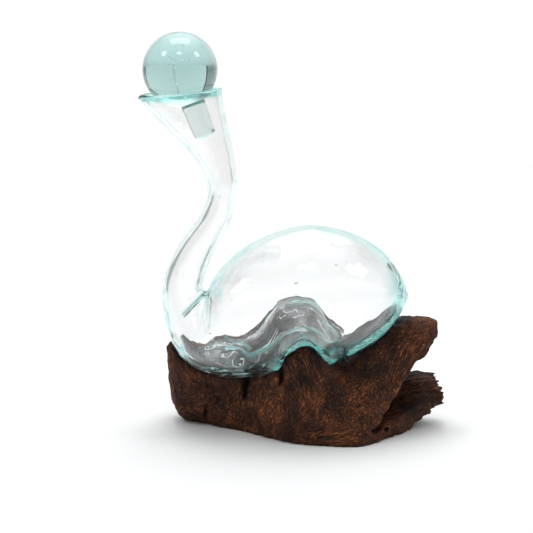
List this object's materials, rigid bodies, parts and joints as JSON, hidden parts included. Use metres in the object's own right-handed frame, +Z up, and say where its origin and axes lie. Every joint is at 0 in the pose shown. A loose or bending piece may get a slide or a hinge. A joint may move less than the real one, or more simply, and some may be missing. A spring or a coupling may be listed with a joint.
{
  "type": "wine decanter",
  "caption": "Swan-shaped blown glass decanter slumped over a hardwood root that serves as its stand, with a solid glass ball stopper.",
  "frame": {"origin": "on the table, in the flat sawn underside of the root, below the middle of the glass body", "axes": "+Z up; the swan's profile lies in the XZ plane, with the head and pouring lip towards -X and the tail towards +X"},
  "size_m": [0.2431, 0.118, 0.3158],
  "materials": {
    "root_wood": "natural, waxed",
    "vessel_glass": "gloss",
    "stopper_glass": "gloss"
  },
  "bodies": {
    "root": {"root_base": "root_wood"},
    "vessel": {"glass_vessel": "vessel_glass"},
    "stopper": {"ball_stopper": "stopper_glass"}
  },
  "joints": [
    {"name": "vessel_lift", "type": "slide", "parent": "root", "child": "vessel", "axis": [0, 0, 1], "range_m": [0, 0.14]},
    {"name": "stopper_pull", "type": "slide", "parent": "vessel", "child": "stopper", "axis": [-0.3535, 0, 0.9354], "range_m": [0, 0.1]}
  ]
}
